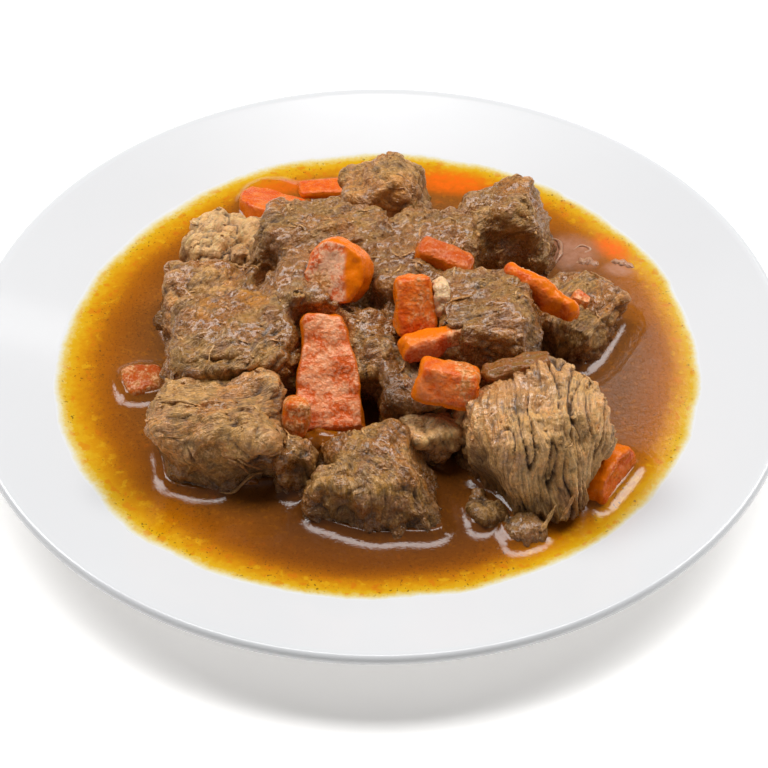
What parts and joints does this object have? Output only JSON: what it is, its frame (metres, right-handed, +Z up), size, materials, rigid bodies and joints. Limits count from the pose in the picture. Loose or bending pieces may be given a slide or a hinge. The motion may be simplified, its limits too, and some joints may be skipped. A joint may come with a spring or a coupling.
{
  "type": "beef stew",
  "caption": "Beef stew on a wide white rimmed plate: chunks of braised beef with carrot and onion standing in a pool of brown sauce with an oily orange margin",
  "frame": {"origin": "centre of the plate's foot ring, on the table", "axes": "+Z up; -Y to the front, where the picture was taken from; +X to the right as seen from the front"},
  "size_m": [0.2694, 0.2694, 0.0578],
  "materials": {
    "plate": "glossy white glaze",
    "sauce": "glossy brown sauce, yellow-orange and thinner at its margin",
    "beef": "coarse fibres under a thin glossy film of sauce",
    "carrot": "soft orange, wet",
    "onion": "translucent, stained brown, wet"
  },
  "bodies": {
    "root": {"beef_centre": "beef", "beef_centre_left": "beef", "beef_centre_right": "beef", "beef_column": "beef", "beef_far_left": "beef", "beef_front": "beef", "beef_front_left": "beef", "beef_front_right": "beef", "beef_knuckle": "beef", "beef_left": "beef", "beef_middle": "beef", "beef_notch": "beef", "beef_rear": "beef", "beef_rear_left": "beef", "beef_rear_low": "beef", "beef_rear_right": "beef", "beef_right": "beef", "beef_scrap_left": "beef", "beef_scrap_right": "beef", "beef_sinew": "beef", "carrot_back": "carrot", "carrot_bar": "carrot", "carrot_flake": "carrot", "carrot_left": "carrot", "carrot_long": "carrot", "carrot_middle": "carrot", "carrot_rear_left": "carrot", "carrot_rear_middle": "carrot", "carrot_right": "carrot", "carrot_round": "carrot", "carrot_strip": "carrot", "carrot_stub": "carrot", "carrot_wedge": "carrot", "onion_curl": "onion", "onion_strip": "onion", "plate": "plate", "sauce": "sauce"}
  },
  "joints": []
}
